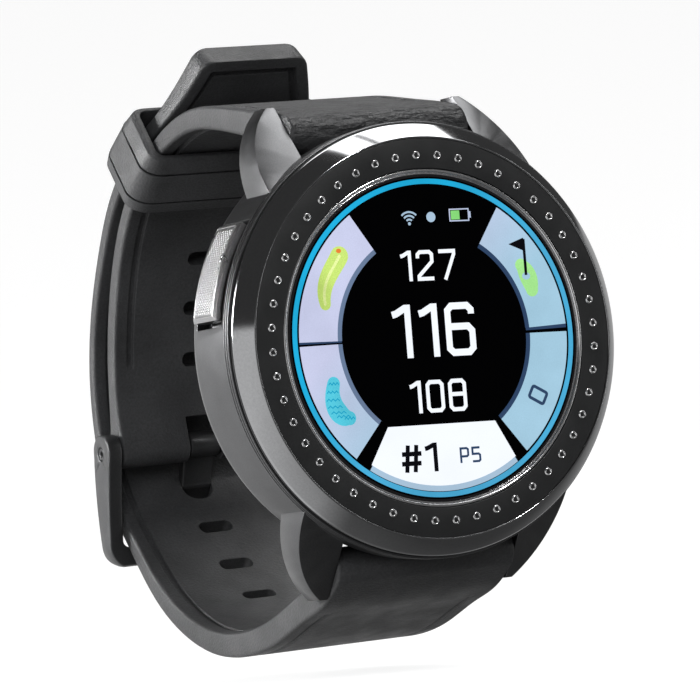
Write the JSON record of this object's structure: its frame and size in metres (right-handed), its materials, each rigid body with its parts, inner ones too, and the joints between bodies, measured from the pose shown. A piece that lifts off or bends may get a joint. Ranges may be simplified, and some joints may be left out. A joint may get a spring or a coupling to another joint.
{
  "type": "golf gps watch",
  "caption": "Round sports watch with studded black dial ring, touch display, side push button, sloped lugs and a buckled silicone band with tongue and sliding keeper.",
  "frame": {"origin": "centre of the rear cover's flat outer face", "axes": "+X to 3 o'clock, +Z to 12 o'clock, -Y out of the dial, +Y towards the wrist"},
  "size_m": [0.0472, 0.066, 0.0684],
  "materials": {
    "case_metal": "satin",
    "polished_gunmetal": "polished",
    "dial_black": "matte",
    "stud_steel": "polished",
    "lens_glass": "polished",
    "touch_glass": "polished",
    "gasket_rubber": "matte",
    "display_black": "gloss",
    "flex_film": "satin",
    "circuit_board": "satin",
    "shield_steel": "satin",
    "chip_black": "matte",
    "antenna_ceramic": "matte",
    "battery_foil": "satin",
    "foam_pad": "matte",
    "tray_plastic": "matte",
    "motor_steel": "satin",
    "motor_tungsten": "satin",
    "back_plastic": "satin",
    "contact_plastic": "gloss",
    "contact_gold": "polished",
    "screw_steel": "satin",
    "button_steel": "knurled",
    "pin_steel": "satin",
    "plunger_plastic": "matte",
    "bar_steel": "satin",
    "band_silicone": "matte",
    "buckle_metal": "satin"
  },
  "bodies": {
    "case": {"mid_case": "case_metal", "bezel_ring": "polished_gunmetal", "bezel_insert": "dial_black", "bezel_studs": "stud_steel", "inner_trim_ring": "polished_gunmetal", "lens": "lens_glass", "lens_gasket": "gasket_rubber", "touch_panel": "touch_glass", "display_panel": "display_black", "display_flex": "flex_film", "main_board": "circuit_board", "processor_shield": "shield_steel", "processor_chip": "chip_black", "gps_antenna": "antenna_ceramic", "battery": "battery_foil", "battery_pad": "foam_pad", "inner_chassis": "tray_plastic", "motor_cup": "motor_steel", "motor_lid": "motor_steel", "motor_shaft": "motor_steel", "rear_cover": "back_plastic", "rear_seal": "gasket_rubber", "rear_screws": "screw_steel", "contact_holder": "contact_plastic", "charge_contacts": "contact_gold", "button_spring": "pin_steel", "button_seal": "gasket_rubber", "switch_body": "contact_plastic", "upper_bar_tube": "bar_steel", "upper_bar_spring": "bar_steel", "lower_bar_tube": "bar_steel", "lower_bar_spring": "bar_steel"},
    "band": {"upper_strap": "band_silicone", "lower_strap": "band_silicone", "buckle_bar": "bar_steel"},
    "keeper": {"keeper": "band_silicone"},
    "buckle": {"buckle_frame": "buckle_metal"},
    "tongue": {"buckle_tongue": "buckle_metal"},
    "button": {"side_button": "button_steel", "button_stem": "pin_steel", "button_clip": "pin_steel"},
    "switch_button": {"switch_plunger": "plunger_plastic"},
    "motor_rotor": {"motor_weight": "motor_tungsten"},
    "upper_tip_left": {"upper_bar_tip_left": "bar_steel"},
    "upper_tip_right": {"upper_bar_tip_right": "bar_steel"},
    "lower_tip_left": {"lower_bar_tip_left": "bar_steel"},
    "lower_tip_right": {"lower_bar_tip_right": "bar_steel"}
  },
  "joints": [
    {"name": "band_rock", "type": "hinge", "parent": "case", "child": "band", "pos_m": [0, -0.0036, 0.0233], "axis": [1, 0, 0], "range_deg": [-6, 6], "deforming": ["lower_strap"]},
    {"name": "keeper_slide", "type": "slide", "parent": "band", "child": "keeper", "axis": [0, 0.7986, -0.6018], "range_m": [0, 0.0012]},
    {"name": "buckle_swing", "type": "hinge", "parent": "band", "child": "buckle", "pos_m": [0, 0.0468, -0.0079], "axis": [1, 0, 0], "range_deg": [0, 8]},
    {"name": "tongue_swing", "type": "hinge", "parent": "buckle", "child": "tongue", "pos_m": [0, 0.0468, -0.0079], "axis": [1, 0, 0], "range_deg": [0, 3]},
    {"name": "button_press", "type": "slide", "parent": "case", "child": "button", "axis": [0.9205, 0, -0.3907], "range_m": [0, 0.0006], "deforming": ["button_spring"]},
    {"name": "switch_press", "type": "slide", "parent": "case", "child": "switch_button", "axis": [0.9205, 0, -0.3907], "range_m": [0, 0.0006]},
    {"name": "motor_spin", "type": "hinge", "parent": "case", "child": "motor_rotor", "pos_m": [-0.0142, -0.0055, -0.005], "axis": [0, 1, 0], "continuous": true},
    {"name": "upper_tip_left_retract", "type": "slide", "parent": "case", "child": "upper_tip_left", "axis": [1, 0, 0], "range_m": [0, 0.0012], "deforming": ["upper_bar_spring"]},
    {"name": "upper_tip_right_retract", "type": "slide", "parent": "case", "child": "upper_tip_right", "axis": [-1, 0, 0], "range_m": [0, 0.0012], "deforming": ["upper_bar_spring"]},
    {"name": "lower_tip_left_retract", "type": "slide", "parent": "case", "child": "lower_tip_left", "axis": [1, 0, 0], "range_m": [0, 0.0012], "deforming": ["lower_bar_spring"]},
    {"name": "lower_tip_right_retract", "type": "slide", "parent": "case", "child": "lower_tip_right", "axis": [-1, 0, 0], "range_m": [0, 0.0012], "deforming": ["lower_bar_spring"]}
  ],
  "couplings": [
    {"joint": "switch_press", "follows": "button_press", "ratio": 1},
    {"joint": "upper_tip_right_retract", "follows": "upper_tip_left_retract", "ratio": 1},
    {"joint": "lower_tip_right_retract", "follows": "lower_tip_left_retract", "ratio": 1}
  ]
}
